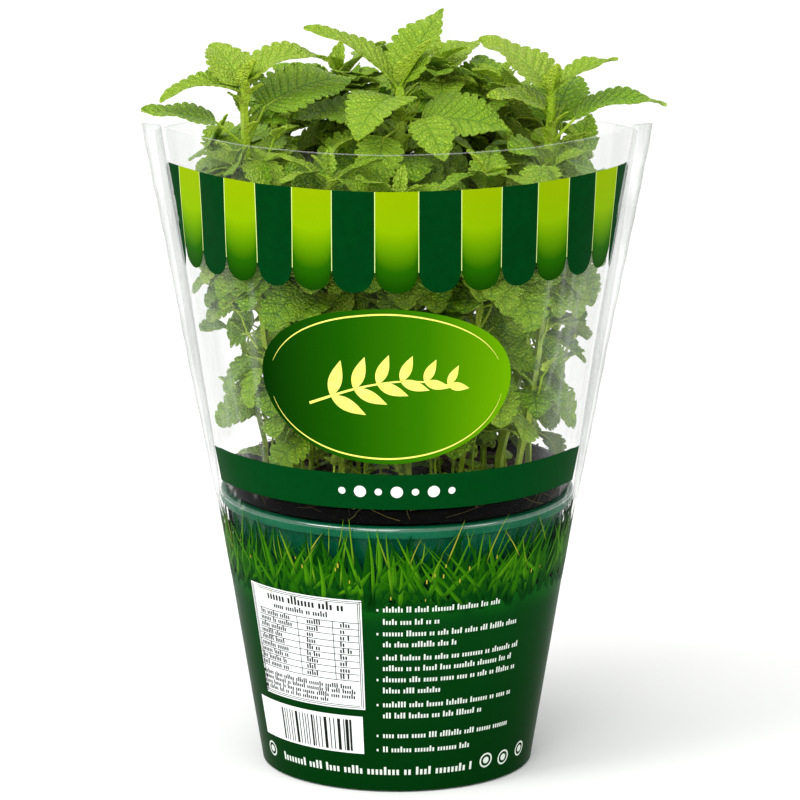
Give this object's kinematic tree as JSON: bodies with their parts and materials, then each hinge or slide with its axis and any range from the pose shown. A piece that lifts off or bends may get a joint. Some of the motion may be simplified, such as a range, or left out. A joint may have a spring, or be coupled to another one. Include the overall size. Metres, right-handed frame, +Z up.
{
  "type": "potted lemon balm plant",
  "caption": "Leafy lemon balm growing in a nursery pot set in a coloured cover pot, wrapped in a clear conical film sleeve with an open top.",
  "frame": {"origin": "centre of the cover pot's underside, on the surface that it stands on", "axes": "+Z up along the pots' axis; -Y towards the front panel of the sleeve; +X to the right when the front is seen"},
  "size_m": [0.172, 0.1504, 0.256],
  "materials": {
    "cover_plastic": "gloss",
    "nursery_plastic": "gloss",
    "soil": "matte",
    "film": "gloss",
    "leaf": "satin"
  },
  "bodies": {
    "root": {"cover_pot": "cover_plastic", "nursery_pot": "nursery_plastic", "soil": "soil", "sleeve": "film", "leafy_stem_01": "leaf", "leafy_stem_02": "leaf", "leafy_stem_03": "leaf", "leafy_stem_04": "leaf", "leafy_stem_05": "leaf", "leafy_stem_06": "leaf", "leafy_stem_07": "leaf", "leafy_stem_08": "leaf", "leafy_stem_09": "leaf", "leafy_stem_10": "leaf", "leafy_stem_11": "leaf", "leafy_stem_12": "leaf", "leafy_stem_13": "leaf", "leafy_stem_14": "leaf", "leafy_stem_15": "leaf", "leafy_stem_16": "leaf"}
  },
  "joints": []
}
